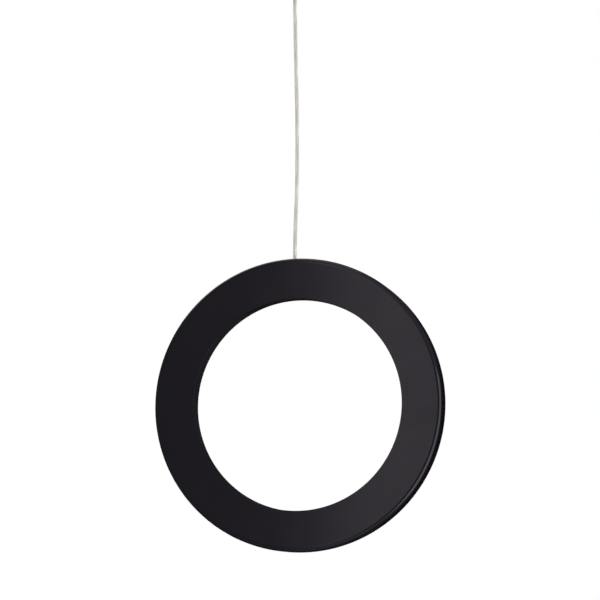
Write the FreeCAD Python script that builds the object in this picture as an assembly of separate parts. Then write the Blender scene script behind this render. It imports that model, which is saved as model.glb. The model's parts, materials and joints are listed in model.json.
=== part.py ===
"""Pendant light for a magnetic ceiling track: a flat black ring on one thin clear cable.

Millimetres, +Z up. The origin is the middle of the adapter's top face, which sits in the track.
X runs along the track, and the ring's blank face looks towards -Y.
"""
import FreeCAD
import Part
import math
import os

Vector = FreeCAD.Vector
X_AXIS = Vector(1, 0, 0)
Y_AXIS = Vector(0, 1, 0)
Z_AXIS = Vector(0, 0, 1)

# Ring
RING_DIAMETER = 200.0
RING_BAND_WIDTH = 27.8
RING_DEPTH = 13.0
RING_FACE_THICKNESS = 2.0
RING_WALL = 1.8
RING_RIM = 0.9
RING_EDGE_ROUND = 3.2
RING_EDGE_BREAK = 0.05
RING_LEAN_DEG = 1.5

# Diffuser in the back of the ring
DIFFUSER_THICKNESS = 2.0
DIFFUSER_RECESS = 0.2
DIFFUSER_EDGE_BREAK = 0.4
DIFFUSER_CLEARANCE = 0.15
SKIRT_LENGTH = 3.0
SKIRT_THICKNESS = 1.2
SNAP_DROP = 1.8
SNAP_BEAD = 0.4
SNAP_BEAD_WIDTH = 0.7
SNAP_GROOVE_CLEARANCE = 0.2

# Light engine inside the ring
TAPE_THICKNESS = 0.3
LED_BOARD_CLEARANCE = 3.1
LED_BOARD_THICKNESS = 1.2
LED_BOARD_CLAMP_CLEARANCE = 5.5
LED_COUNT = 46
LED_LENGTH = 3.5
LED_WIDTH = 2.8
LED_HEIGHT = 0.8
RING_TERMINAL_LENGTH = 7.5
RING_TERMINAL_WIDTH = 6.5
RING_TERMINAL_HEIGHT = 4.0
RING_TERMINAL_INSET = 0.6

# Cable and its two cores
CABLE_DIAMETER = 2.5
CABLE_FREE_LENGTH = 190.0
CABLE_FIT = 0.05
CORE_DIAMETER = 1.0
CORE_SPACING = 1.3
LEAD_STRAIGHT = 3.0
RING_LEAD_DROP = 2.0
RING_LEAD_STEP = 1.6
RING_LEAD_MOUTH = 2.0
PIVOT_GAP = 0.2
NECK_LENGTH = 6.0

# Where the cable enters the ring
GROMMET_DIAMETER = 4.6
GROMMET_FLANGE_DIAMETER = 6.6
GROMMET_FLANGE_THICKNESS = 1.0
GROMMET_MOUTH_ROUND = 0.4
GROMMET_CLEARANCE = 0.1
CLAMP_LENGTH = 16.0
CLAMP_WIDTH = 4.0
CLAMP_GROMMET_GAP = 1.0
CLAMP_STRAP_THICKNESS = 1.0
CLAMP_SCREW_SPACING = 10.4
CLAMP_SCREW_LENGTH = 6.5
RING_TAIL_STUB = 0.6

# Small screws
SCREW_DIAMETER = 2.0
SCREW_HEAD_DIAMETER = 3.8
SCREW_HEAD_HEIGHT = 1.0
SCREW_HEAD_BREAK = 0.4
SCREW_SOCKET = 1.3
SCREW_SOCKET_DEPTH = 0.6
SCREW_CLEARANCE = 0.05

# Track adapter
ADAPTER_LENGTH = 120.0
ADAPTER_WIDTH = 20.0
ADAPTER_HEIGHT = 24.0
ADAPTER_WALL = 1.6
ADAPTER_FLOOR = 2.4
ADAPTER_CORNER_ROUND = 2.5
ADAPTER_FOOT_ROUND = 1.0
LID_THICKNESS = 4.0
LID_LIP_DEPTH = 1.5
LID_LIP_WIDTH = 1.0
LID_CLEARANCE = 0.15
LID_EDGE_BREAK = 0.4
LID_SCREW_DIAMETER = 2.5
LID_SCREW_HEAD_DIAMETER = 4.6
LID_SCREW_LENGTH = 12.0
LID_SCREW_INSET = 4.2
LID_BOSS_DIAMETER = 5.4
MAGNET_LENGTH = 24.0
MAGNET_WIDTH = 12.0
MAGNET_THICKNESS = 3.0
MAGNET_SPACING = 66.0
MAGNET_CORNER_ROUND = 1.0
MAGNET_RECESS = 0.2
MAGNET_CLEARANCE = 0.1

# Side contacts
CONTACT_X = 24.0
CONTACT_DROP = 10.0
CONTACT_DIAMETER = 4.0
CONTACT_TRAVEL = 1.2
CONTACT_PRESSED_REACH = 0.2
CONTACT_TIP_ROUND = 1.2
CONTACT_FLANGE_DIAMETER = 5.0
CONTACT_FLANGE_THICKNESS = 1.0
CONTACT_FIT = 0.08
CONTACT_STOP_GAP = 0.1
CARRIER_LENGTH = 14.0
CARRIER_HEIGHT = 9.0
CARRIER_CLEARANCE = 0.2
CARRIER_BORE_CLEARANCE = 0.2
CARRIER_WEB = 2.0
CARRIER_RIB_LENGTH = 10.0
CARRIER_RIB_SPACING = 12.0
CARRIER_RIB_THICKNESS = 1.5
SPRING_DIAMETER = 3.8
SPRING_WIRE = 0.4
SPRING_TURNS = 4
SPRING_CLEARANCE = 0.1
TAB_WIDTH = 2.0
TAB_THICKNESS = 0.5
TAB_DROP = 2.5
TAB_CLEARANCE = 0.1

# Driver board in the adapter
BOARD_END_CLEARANCE = 1.0
BOARD_SIDE_CLEARANCE = 1.4
BOARD_THICKNESS = 1.2
BOARD_LIFT = 3.0
BOARD_BOSS_DIAMETER = 5.0
BOARD_SCREW_LENGTH = 3.6
BOARD_SCREW_STEP = 10.5
BOARD_SCREW_INSET = 3.4
INDUCTOR_SIZE = 10.0
INDUCTOR_HEIGHT = 6.5
INDUCTOR_FOOT_HEIGHT = 2.0
INDUCTOR_FOOT_ROUND = 1.2
INDUCTOR_STEP = 9.4
CAPACITOR_DIAMETER = 6.3
CAPACITOR_HEIGHT = 9.0
CAPACITOR_EDGE_BREAK = 0.5
CAPACITOR_STEP = 6.5
CAPACITOR_SPACING = 0.6
CHIP_LENGTH = 4.0
CHIP_WIDTH = 3.0
CHIP_HEIGHT = 1.3
CHIP_SPACING = 9.0
TERMINAL_LENGTH = 6.0
TERMINAL_WIDTH = 13.0
TERMINAL_HEIGHT = 7.4
TERMINAL_END_STEP = 1.0
TERMINAL_PITCH = 3.2
TERMINAL_WIRE_LEVEL = 4.4
TERMINAL_HOLE_DIAMETER = 1.6
TERMINAL_HOLE_DEPTH = 4.0
TERMINAL_WIRE_DEPTH = 3.0

# Cable gland under the adapter
GLAND_THREAD_DIAMETER = 8.0
GLAND_THREAD_RISE = 1.6
GLAND_FLANGE_DIAMETER = 13.0
GLAND_FLANGE_THICKNESS = 1.5
GLAND_NECK_DIAMETER = 9.0
GLAND_NECK_LENGTH = 6.0
GLAND_BORE_ROOM = 0.5
GLAND_CLEARANCE = 0.1
LOCKNUT_ACROSS_FLATS = 12.0
LOCKNUT_HEIGHT = 3.0
LOCKNUT_CHAMFER = 0.5
COLLET_DIAMETER = 6.0
COLLET_LENGTH = 5.0
COLLET_FLANGE_INSET = 0.3
COLLET_FLANGE_THICKNESS = 0.7
CAP_DIAMETER = 13.0
CAP_TOP_GAP = 0.4
CAP_THROAT_ROOM = 0.35
CAP_THROAT_LENGTH = 1.7
CAP_FLARE_LENGTH = 3.5
CAP_MOUTH_DIAMETER = 7.2
CAP_NOSE_DIAMETER = 9.6
CAP_EDGE_ROUND = 0.5
CAP_FLUTES = 18
CAP_FLUTE_RADIUS = 0.55
CABLE_TAIL_RISE = 0.6

# Levels of the adapter, from its top face down
lid_under = -LID_THICKNESS
lip_under = lid_under - LID_LIP_DEPTH
adapter_foot = -ADAPTER_HEIGHT
floor_top = adapter_foot + ADAPTER_FLOOR
inner_length = ADAPTER_LENGTH - 2 * ADAPTER_WALL
inner_width = ADAPTER_WIDTH - 2 * ADAPTER_WALL
inner_round = max(ADAPTER_CORNER_ROUND - ADAPTER_WALL, 0.2)

# Side contacts, from the wall inwards
contact_level = -CONTACT_DROP
wall_inside = inner_width / 2
carrier_side = wall_inside - CARRIER_CLEARANCE
carrier_foot = lip_under - CARRIER_HEIGHT
flange_face = wall_inside - CONTACT_STOP_GAP
flange_back = flange_face - CONTACT_FLANGE_THICKNESS
bore_end = CARRIER_WEB / 2
disc_face = bore_end + TAB_THICKNESS
carrier_bore = CONTACT_FLANGE_DIAMETER / 2 + CARRIER_BORE_CLEARANCE
tab_foot = carrier_foot - TAB_DROP

# Driver board
board_under = floor_top + BOARD_LIFT
board_top = board_under + BOARD_THICKNESS
locknut_reach = LOCKNUT_ACROSS_FLATS / 2 / math.cos(math.pi / 6)
board_end = -locknut_reach - BOARD_END_CLEARANCE
board_start = LID_SCREW_INSET + LID_BOSS_DIAMETER / 2 + BOARD_END_CLEARANCE - ADAPTER_LENGTH / 2
board_side = wall_inside - BOARD_SIDE_CLEARANCE
terminal_face = board_end - TERMINAL_END_STEP
board_screw_x = board_end - BOARD_SCREW_STEP
capacitor_x = board_screw_x - CAPACITOR_STEP
inductor_x = capacitor_x - INDUCTOR_STEP
wire_level = board_top + TERMINAL_WIRE_LEVEL

# Levels of the gland and the cable's two pivots
gland_top = floor_top + LOCKNUT_HEIGHT + GLAND_THREAD_RISE
gland_flange_foot = adapter_foot - GLAND_FLANGE_THICKNESS
gland_foot = gland_flange_foot - GLAND_NECK_LENGTH
collet_foot = gland_foot - COLLET_FLANGE_THICKNESS
cap_seat = collet_foot - GLAND_CLEARANCE
side_pivot = cap_seat - CAP_THROAT_LENGTH
cap_foot = side_pivot - CAP_FLARE_LENGTH
front_pivot = side_pivot - NECK_LENGTH
cable_radius = CABLE_DIAMETER / 2
cable_hole = cable_radius + CABLE_FIT
sheath_top = gland_top + CABLE_TAIL_RISE

# Ring, about its own centre: radii, and depths from the face at the front to the back
ring_top = side_pivot - CABLE_FREE_LENGTH
outer_radius = RING_DIAMETER / 2
ring_hole_diameter = RING_DIAMETER - 2 * RING_BAND_WIDTH
hole_radius = ring_hole_diameter / 2
outer_wall = outer_radius - RING_WALL
inner_wall = hole_radius + RING_WALL
front = -RING_DEPTH / 2
back = RING_DEPTH / 2
face_inside = front + RING_FACE_THICKNESS
ledge = back - DIFFUSER_RECESS - DIFFUSER_THICKNESS
snap_level = ledge - SNAP_DROP
board_seat = face_inside + TAPE_THICKNESS
led_seat = board_seat + LED_BOARD_THICKNESS
saddle_top = -cable_hole
strap_back = cable_hole + CLAMP_STRAP_THICKNESS
grommet_flange_top = outer_wall - GROMMET_CLEARANCE
grommet_flange_low = grommet_flange_top - GROMMET_FLANGE_THICKNESS
clamp_top = grommet_flange_low - CLAMP_GROMMET_GAP
clamp_low = clamp_top - CLAMP_WIDTH
clamp_middle = clamp_top - CLAMP_WIDTH / 2
ring_tail_end = clamp_low - RING_TAIL_STUB
led_board_inner = inner_wall + LED_BOARD_CLEARANCE
led_board_outer = outer_wall - LED_BOARD_CLEARANCE
led_row = (led_board_inner + led_board_outer) / 2
led_board_gap = math.asin((CLAMP_LENGTH / 2 + LED_BOARD_CLAMP_CLEARANCE) / led_board_inner)
ring_terminal_turn = led_board_gap + RING_TERMINAL_INSET / led_board_inner
led_free = ring_terminal_turn + (RING_TERMINAL_LENGTH + LED_WIDTH) / led_board_inner

# The cable's gentle bow: sideways set in X, and height over the ring's top
CABLE_ROUTE = (
    (0.55, 145.0),
    (1.70, 97.0),
    (1.55, 50.0),
    (0.25, 22.0),
)


def cylinder(diameter, low, high, x=0.0, y=0.0):
    """Upright round bar between two levels."""
    return Part.makeCylinder(diameter / 2, high - low, Vector(x, y, low))


def block(low, high):
    """Box between its lowest and its highest corner."""
    size = Vector(*high) - Vector(*low)
    return Part.makeBox(size.x, size.y, size.z, Vector(*low))


def rounded_block(length, width, low, high, corner, x=0.0):
    """Box with rounded upright edges, centred on (x, 0)."""
    bar = block((x - length / 2, -width / 2, low), (x + length / 2, width / 2, high))
    upright = [edge for edge in bar.Edges if abs(edge.tangentAt(edge.FirstParameter).z) > 0.9]
    return bar.makeFillet(corner, upright)


def turned(outline, axis=Z_AXIS, degrees=360.0):
    """Solid of revolution about Z or Y from (radius, level) corners."""
    corners = [X_AXIS * radius + axis * level for radius, level in outline]
    face = Part.Face(Part.makePolygon(corners + corners[:1]))
    return face.revolve(Vector(0, 0, 0), axis, degrees)


def circles(solid, radius, centre):
    """Round edges of one radius about one centre point."""
    found = []
    for edge in solid.Edges:
        curve = edge.Curve
        if not isinstance(curve, Part.Circle):
            continue
        if abs(curve.Radius - radius) < 0.001 and curve.Center.distanceToPoint(centre) < 0.001:
            found.append(edge)
    return found


def corner_arc(start, corner, end):
    """Arc from start to end, tangent to the lines that meet at the corner."""
    middle = (start + end) * 0.5
    half = start.distanceToPoint(end) / 2
    reach = corner.distanceToPoint(middle)
    rise = half * math.tan(math.atan(reach / half) / 2)
    return Part.Arc(start, middle + (corner - middle) * (rise / reach), end).toShape()


def rounded_path(points, name=None):
    """Straight runs joined by tangent arcs as large as the runs allow."""
    edges = []
    last = points[0]
    for before, corner, after in zip(points, points[1:], points[2:]):
        arrive = before - corner
        leave = after - corner
        setback = 0.45 * min(arrive.Length, leave.Length)
        start = corner + arrive * (setback / arrive.Length)
        end = corner + leave * (setback / leave.Length)
        edges.append(Part.LineSegment(last, start).toShape())
        edges.append(corner_arc(start, corner, end))
        if name:
            print(name, "bend radius", round(edges[-1].Curve.Radius, 1))
        last = end
    edges.append(Part.LineSegment(last, points[-1]).toShape())
    return Part.Wire(edges)


def tube_along(path, diameter):
    """Round solid tube along a path."""
    start = path.Edges[0]
    tangent = start.tangentAt(start.FirstParameter)
    section = Part.Wire(Part.Circle(start.valueAt(start.FirstParameter), tangent, diameter / 2).toShape())
    return path.makePipeShell([section], True, False)


def half_ball(centre, direction):
    """Rounded end of the cable."""
    return Part.makeSphere(cable_radius, centre, direction, 0, 90, 360)


def hexagon(across_flats, low, high):
    """Upright hexagonal bar."""
    reach = across_flats / 2 / math.cos(math.pi / 6)
    corners = []
    for step in range(7):
        angle = step * math.pi / 3
        corners.append(Vector(reach * math.cos(angle), reach * math.sin(angle), low))
    return Part.Face(Part.makePolygon(corners)).extrude(Z_AXIS * (high - low))


def pan_screw(length):
    """Small pan-head screw: head above Z = 0, shank below."""
    head = cylinder(SCREW_HEAD_DIAMETER, 0, SCREW_HEAD_HEIGHT)
    rim = circles(head, SCREW_HEAD_DIAMETER / 2, Vector(0, 0, SCREW_HEAD_HEIGHT))
    head = head.makeChamfer(SCREW_HEAD_BREAK, rim)
    socket = hexagon(SCREW_SOCKET, SCREW_HEAD_HEIGHT - SCREW_SOCKET_DEPTH, SCREW_HEAD_HEIGHT)
    return head.fuse(cylinder(SCREW_DIAMETER, -length, 0)).cut(socket)


def placed(piece, x, y, z):
    """Copy of a piece moved to a point."""
    copy = piece.copy()
    copy.translate(Vector(x, y, z))
    return copy


def turned_back(piece, x, radius, depth):
    """Copy of an upright piece laid along the ring's depth, its top towards the back."""
    copy = piece.copy()
    copy.rotate(Vector(0, 0, 0), X_AXIS, -90)
    copy.translate(Vector(x, depth, radius))
    return copy


def hung(piece):
    """Ring piece moved from the ring's own centre to where it hangs on the cable."""
    piece.translate(Vector(0, 0, ring_top - outer_radius))
    piece.rotate(Vector(0, 0, ring_top), Y_AXIS, -RING_LEAN_DEG)
    return piece


# Ring pieces


def wall_groove(wall, inwards):
    """Corners of the snap groove in one wall, from the back to the front."""
    half = SNAP_BEAD_WIDTH / 2 + SNAP_GROOVE_CLEARANCE
    floor = wall - inwards * (SNAP_BEAD + SNAP_GROOVE_CLEARANCE - DIFFUSER_CLEARANCE)
    return [
        (wall, snap_level + half),
        (floor, snap_level + half),
        (floor, snap_level - half),
        (wall, snap_level - half),
    ]


def ring_housing():
    """Turned channel, open at the back, with a soft outer edge on its face and stepped rear walls."""
    rim_out = outer_radius - RING_RIM
    rim_in = hole_radius + RING_RIM
    outline = [(hole_radius, front), (outer_radius, front), (outer_radius, back), (rim_out, back)]
    outline += [(rim_out, ledge), (outer_wall, ledge)]
    outline += wall_groove(outer_wall, -1)
    outline += [(outer_wall, face_inside), (inner_wall, face_inside)]
    outline += reversed(wall_groove(inner_wall, 1))
    outline += [(inner_wall, ledge), (rim_in, ledge), (rim_in, back), (hole_radius, back)]
    channel = turned(outline, Y_AXIS)
    channel = channel.makeFillet(RING_EDGE_ROUND, circles(channel, outer_radius, Y_AXIS * front))
    sharp = circles(channel, hole_radius, Y_AXIS * front)
    sharp += circles(channel, hole_radius, Y_AXIS * back)
    sharp += circles(channel, outer_radius, Y_AXIS * back)
    channel = channel.makeChamfer(RING_EDGE_BREAK, sharp)
    saddle = block((-CLAMP_LENGTH / 2, face_inside - RING_FACE_THICKNESS / 2, clamp_low),
                   (CLAMP_LENGTH / 2, saddle_top, clamp_top))
    housing = channel.fuse(saddle).removeSplitter()
    cable_entry = cylinder(GROMMET_DIAMETER + 2 * GROMMET_CLEARANCE, clamp_top, outer_radius + RING_WALL)
    screw_end = strap_back - CLAMP_SCREW_LENGTH - SCREW_CLEARANCE
    screw_hole = cylinder(SCREW_DIAMETER + 2 * SCREW_CLEARANCE, screw_end, saddle_top)
    for side in (-1, 1):
        housing = housing.cut(turned_back(screw_hole, side * CLAMP_SCREW_SPACING / 2, clamp_middle, 0))
    return housing.cut(cable_entry)


def skirt_bead(wall, outwards):
    """Corners of the snap bead on one skirt, from the back to the front."""
    return [
        (wall, snap_level + SNAP_BEAD_WIDTH / 2),
        (wall + outwards * SNAP_BEAD, snap_level),
        (wall, snap_level - SNAP_BEAD_WIDTH / 2),
    ]


def diffuser():
    """Opal cover plate with two snap skirts, the outer one notched for the cable."""
    plate_out = outer_radius - RING_RIM - DIFFUSER_CLEARANCE
    plate_in = hole_radius + RING_RIM + DIFFUSER_CLEARANCE
    skirt_out = outer_wall - DIFFUSER_CLEARANCE
    skirt_in = inner_wall + DIFFUSER_CLEARANCE
    skirt_end = ledge - SKIRT_LENGTH
    plate_back = ledge + DIFFUSER_THICKNESS
    outline = [(plate_in, plate_back), (plate_out, plate_back), (plate_out, ledge), (skirt_out, ledge)]
    outline += skirt_bead(skirt_out, 1)
    outline += [(skirt_out, skirt_end), (skirt_out - SKIRT_THICKNESS, skirt_end)]
    outline += [(skirt_out - SKIRT_THICKNESS, ledge), (skirt_in + SKIRT_THICKNESS, ledge)]
    outline += [(skirt_in + SKIRT_THICKNESS, skirt_end), (skirt_in, skirt_end)]
    outline += reversed(skirt_bead(skirt_in, -1))
    outline += [(skirt_in, ledge), (plate_in, ledge)]
    cover = turned(outline, Y_AXIS)
    rims = circles(cover, plate_out, Y_AXIS * plate_back) + circles(cover, plate_in, Y_AXIS * plate_back)
    cover = cover.makeChamfer(DIFFUSER_EDGE_BREAK, rims)
    half = GROMMET_FLANGE_DIAMETER / 2 + SKIRT_THICKNESS
    notch = block((-half, skirt_end - SNAP_BEAD, outer_wall - 2 * SKIRT_THICKNESS),
                  (half, ledge, outer_radius))
    return hung(cover.cut(notch))


def board_layer(low, high):
    """Flat ring of the board's outline, with a gap at its top for the clamp."""
    gap = math.degrees(led_board_gap)
    outline = [
        (led_board_inner, low),
        (led_board_outer, low),
        (led_board_outer, high),
        (led_board_inner, high),
    ]
    arc = turned(outline, Y_AXIS, 360.0 - 2 * gap)
    arc.rotate(Vector(0, 0, 0), Y_AXIS, gap - 90.0)
    return hung(arc)


def led_board():
    """Metal-core board that carries the light-emitting chips."""
    return board_layer(board_seat, led_seat)


def thermal_tape():
    """Sticky tape that holds the board to the inside of the face."""
    return board_layer(face_inside, board_seat)


def led_chips():
    """One row of chips, evenly spaced, clear of the cable's entry."""
    chip = block((-LED_WIDTH / 2, led_seat, led_row - LED_LENGTH / 2),
                 (LED_WIDTH / 2, led_seat + LED_HEIGHT, led_row + LED_LENGTH / 2))
    first = math.degrees(led_free)
    step = (360.0 - 2 * first) / (LED_COUNT - 1)
    chips = []
    for index in range(LED_COUNT):
        one = chip.copy()
        one.rotate(Vector(0, 0, 0), Y_AXIS, first + index * step)
        chips.append(one)
    return hung(Part.makeCompound(chips))


def at_ring_terminal(along, depth, radius):
    """Point in the ring from its place at the terminal: distance out of the mouth, depth and radius."""
    swing = math.sin(ring_terminal_turn)
    rise = math.cos(ring_terminal_turn)
    return Vector(along * rise - radius * swing, depth, along * swing + radius * rise)


def ring_lead_routes():
    """Routes of the two cores, from the sheath's end under the clamp to the terminal in the ring."""
    depth = led_seat + RING_TERMINAL_HEIGHT / 2
    beside = -CLAMP_LENGTH / 2 - CORE_DIAMETER
    routes = []
    for side in (-1, 1):
        x = side * CORE_SPACING / 2
        low = ring_tail_end - RING_LEAD_DROP - max(side, 0) * RING_LEAD_STEP
        hole = led_row - side * TERMINAL_PITCH / 2
        routes.append([
            Vector(x, 0, ring_tail_end),
            Vector(x, 0, low),
            Vector(beside, depth / 2, low),
            at_ring_terminal(RING_LEAD_MOUTH, depth, hole),
            at_ring_terminal(-TERMINAL_WIRE_DEPTH, depth, hole),
        ])
    return routes


def ring_terminal():
    """Push-in terminal at the end of the board, with one hole per core."""
    half = RING_TERMINAL_WIDTH / 2
    body = block((-RING_TERMINAL_LENGTH, led_seat, led_row - half),
                 (0, led_seat + RING_TERMINAL_HEIGHT, led_row + half))
    for side in (-1, 1):
        mouth = Vector(-TERMINAL_HOLE_DEPTH, led_seat + RING_TERMINAL_HEIGHT / 2,
                       led_row + side * TERMINAL_PITCH / 2)
        body = body.cut(Part.makeCylinder(TERMINAL_HOLE_DIAMETER / 2, TERMINAL_HOLE_DEPTH, mouth, X_AXIS))
    body.rotate(Vector(0, 0, 0), Y_AXIS, -math.degrees(ring_terminal_turn))
    return hung(body)


def ring_leads():
    """Two cores from the cable's end to the terminal on the board."""
    cores = [tube_along(rounded_path(route), CORE_DIAMETER) for route in ring_lead_routes()]
    return hung(Part.makeCompound(cores))


def cable_grommet():
    """Soft bush in the ring's top wall, flush outside and flanged inside."""
    top = outer_radius - GROMMET_CLEARANCE
    bush = turned([
        (cable_hole, grommet_flange_low),
        (GROMMET_FLANGE_DIAMETER / 2, grommet_flange_low),
        (GROMMET_FLANGE_DIAMETER / 2, grommet_flange_top),
        (GROMMET_DIAMETER / 2, grommet_flange_top),
        (GROMMET_DIAMETER / 2, top),
        (cable_hole + GROMMET_MOUTH_ROUND, top),
        (cable_hole, top - GROMMET_MOUTH_ROUND),
    ])
    return hung(bush)


def cable_clamp():
    """Strap that holds the cable down on its saddle inside the ring."""
    strap = block((-CLAMP_LENGTH / 2, saddle_top, clamp_low), (CLAMP_LENGTH / 2, strap_back, clamp_top))
    groove = cylinder(2 * cable_hole, clamp_low, clamp_top)
    slot = block((-cable_hole, saddle_top, clamp_low), (cable_hole, 0, clamp_top))
    strap = strap.cut(groove.fuse(slot))
    shank = cylinder(SCREW_DIAMETER + 2 * SCREW_CLEARANCE, saddle_top, strap_back)
    for side in (-1, 1):
        strap = strap.cut(turned_back(shank, side * CLAMP_SCREW_SPACING / 2, clamp_middle, 0))
    return hung(strap)


def clamp_screws():
    """Two screws through the strap into the saddle."""
    screw = pan_screw(CLAMP_SCREW_LENGTH)
    pair = []
    for side in (-1, 1):
        pair.append(turned_back(screw, side * CLAMP_SCREW_SPACING / 2, clamp_middle, strap_back))
    return hung(Part.makeCompound(pair))


def cable_tail_ring():
    """Sheathed end of the cable inside the ring."""
    return hung(cylinder(CABLE_DIAMETER, ring_tail_end, outer_radius))


# Cable


def cable_upper():
    """Short neck of the cable in the gland's mouth, between the two ways it swings."""
    neck = cylinder(CABLE_DIAMETER, front_pivot + cable_radius + PIVOT_GAP, side_pivot)
    return neck.fuse(half_ball(Vector(0, 0, side_pivot), Z_AXIS))


def power_cable():
    """Free stretch of the cable, from the neck down to the ring."""
    points = [Vector(0, 0, front_pivot)]
    points += [Vector(x, 0, ring_top + height) for x, height in CABLE_ROUTE]
    points.append(Vector(0, 0, ring_top + PIVOT_GAP))
    path = rounded_path(points, "cable")
    tube = tube_along(path, CABLE_DIAMETER)
    section = math.pi * cable_radius ** 2
    print("cable volume", round(tube.Volume, 2), "section times length", round(section * path.Length, 2))
    return tube.fuse(half_ball(points[0], points[0] - points[1]))


def cable_tail_top():
    """Sheathed end of the cable inside the gland and the adapter."""
    return cylinder(CABLE_DIAMETER, side_pivot + cable_radius + PIVOT_GAP, sheath_top)


# Gland


def gland_body():
    """Threaded nipple through the adapter's floor, with a seat for the collet."""
    bore = cable_radius + GLAND_BORE_ROOM
    seat = COLLET_DIAMETER / 2 + GLAND_CLEARANCE
    seat_top = gland_foot + COLLET_LENGTH + GLAND_CLEARANCE
    return turned([
        (bore, gland_top),
        (GLAND_THREAD_DIAMETER / 2, gland_top),
        (GLAND_THREAD_DIAMETER / 2, adapter_foot),
        (GLAND_FLANGE_DIAMETER / 2, adapter_foot),
        (GLAND_FLANGE_DIAMETER / 2, gland_flange_foot),
        (GLAND_NECK_DIAMETER / 2, gland_flange_foot),
        (GLAND_NECK_DIAMETER / 2, gland_foot),
        (seat, gland_foot),
        (seat, seat_top),
        (bore, seat_top),
    ])


def gland_locknut():
    """Hexagonal nut on the nipple, tightened on the adapter's floor."""
    nut_top = floor_top + LOCKNUT_HEIGHT
    flats = LOCKNUT_ACROSS_FLATS / 2
    dressed = turned([
        (0, floor_top),
        (flats, floor_top),
        (locknut_reach, floor_top + LOCKNUT_CHAMFER),
        (locknut_reach, nut_top - LOCKNUT_CHAMFER),
        (flats, nut_top),
        (0, nut_top),
    ])
    hole = cylinder(GLAND_THREAD_DIAMETER + 2 * GLAND_CLEARANCE, floor_top, nut_top)
    return hexagon(LOCKNUT_ACROSS_FLATS, floor_top, nut_top).common(dressed).cut(hole)


def gland_collet():
    """Soft collet that the cap squeezes on the cable."""
    flange = GLAND_NECK_DIAMETER / 2 - COLLET_FLANGE_INSET
    return turned([
        (cable_hole, gland_foot + COLLET_LENGTH),
        (COLLET_DIAMETER / 2, gland_foot + COLLET_LENGTH),
        (COLLET_DIAMETER / 2, gland_foot),
        (flange, gland_foot),
        (flange, collet_foot),
        (cable_hole, collet_foot),
    ])


def gland_cap():
    """Fluted cap nut with a flared mouth in which the cable swings."""
    cavity = GLAND_NECK_DIAMETER / 2 + GLAND_CLEARANCE
    throat = cable_radius + CAP_THROAT_ROOM
    cap_top = gland_flange_foot - CAP_TOP_GAP
    cap = turned([
        (cavity, cap_top),
        (CAP_DIAMETER / 2, cap_top),
        (CAP_DIAMETER / 2, cap_seat),
        (CAP_NOSE_DIAMETER / 2, cap_foot),
        (CAP_MOUTH_DIAMETER / 2, cap_foot),
        (throat, side_pivot),
        (throat, cap_seat),
        (cavity, cap_seat),
    ])
    soft = circles(cap, CAP_DIAMETER / 2, Z_AXIS * cap_top)
    soft += circles(cap, CAP_DIAMETER / 2, Z_AXIS * cap_seat)
    soft += circles(cap, CAP_NOSE_DIAMETER / 2, Z_AXIS * cap_foot)
    soft += circles(cap, CAP_MOUTH_DIAMETER / 2, Z_AXIS * cap_foot)
    cap = cap.makeFillet(CAP_EDGE_ROUND, soft)
    flute = cylinder(2 * CAP_FLUTE_RADIUS, cap_seat, cap_top, CAP_DIAMETER / 2 + CAP_FLUTE_RADIUS / 2)
    flutes = []
    for index in range(CAP_FLUTES):
        one = flute.copy()
        one.rotate(Vector(0, 0, 0), Z_AXIS, index * 360.0 / CAP_FLUTES)
        flutes.append(one)
    return cap.cut(Part.makeCompound(flutes))


# Adapter


def lid_screw_places():
    """Middles of the four lid screws."""
    x = ADAPTER_LENGTH / 2 - LID_SCREW_INSET
    y = ADAPTER_WIDTH / 2 - LID_SCREW_INSET
    return [(x, y), (-x, y), (-x, -y), (x, -y)]


def board_screw_places():
    """Places along X of the screws that hold the driver board."""
    return [board_screw_x, board_start + BOARD_SCREW_INSET]


def adapter_housing():
    """Open-topped moulded box with screw bosses, board bosses and ribs for the contact carrier."""
    shell = rounded_block(ADAPTER_LENGTH, ADAPTER_WIDTH, adapter_foot, lid_under, ADAPTER_CORNER_ROUND)
    foot = [edge for edge in shell.Edges if edge.BoundBox.ZMax < adapter_foot + 0.001]
    shell = shell.makeFillet(ADAPTER_FOOT_ROUND, foot)
    cavity = rounded_block(inner_length, inner_width, floor_top, lid_under, inner_round)
    bosses = [cylinder(LID_BOSS_DIAMETER, adapter_foot, lid_under, x, y) for x, y in lid_screw_places()]
    outside = shell.copy()
    shell = shell.cut(cavity)
    for x in board_screw_places():
        bosses.append(cylinder(BOARD_BOSS_DIAMETER, adapter_foot, board_under, x))
    for side in (-1, 1):
        y = side * CARRIER_RIB_SPACING / 2
        low = (CONTACT_X - CARRIER_RIB_LENGTH / 2, y - CARRIER_RIB_THICKNESS / 2, adapter_foot)
        high = (CONTACT_X + CARRIER_RIB_LENGTH / 2, y + CARRIER_RIB_THICKNESS / 2, carrier_foot)
        bosses.append(block(low, high))
    for boss in bosses:
        shell = shell.fuse(boss.common(outside))
    cuts = [cylinder(GLAND_THREAD_DIAMETER + 2 * GLAND_CLEARANCE, adapter_foot, floor_top)]
    lid_hole = LID_SCREW_DIAMETER + 2 * SCREW_CLEARANCE
    for x, y in lid_screw_places():
        cuts.append(cylinder(lid_hole, -LID_SCREW_LENGTH - LID_SCREW_DIAMETER, lid_under, x, y))
    board_hole = SCREW_DIAMETER + 2 * SCREW_CLEARANCE
    for x in board_screw_places():
        cuts.append(cylinder(board_hole, board_top - BOARD_SCREW_LENGTH - SCREW_CLEARANCE, board_under, x))
    window = CONTACT_DIAMETER / 2 + CONTACT_FIT
    cuts.append(Part.makeCylinder(window, ADAPTER_WIDTH,
                                  Vector(CONTACT_X, -ADAPTER_WIDTH / 2, contact_level), Y_AXIS))
    return shell.removeSplitter().cut(Part.makeCompound(cuts))


def magnet_places():
    """Middles along X of the two holding magnets."""
    return [-MAGNET_SPACING / 2, MAGNET_SPACING / 2]


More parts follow.
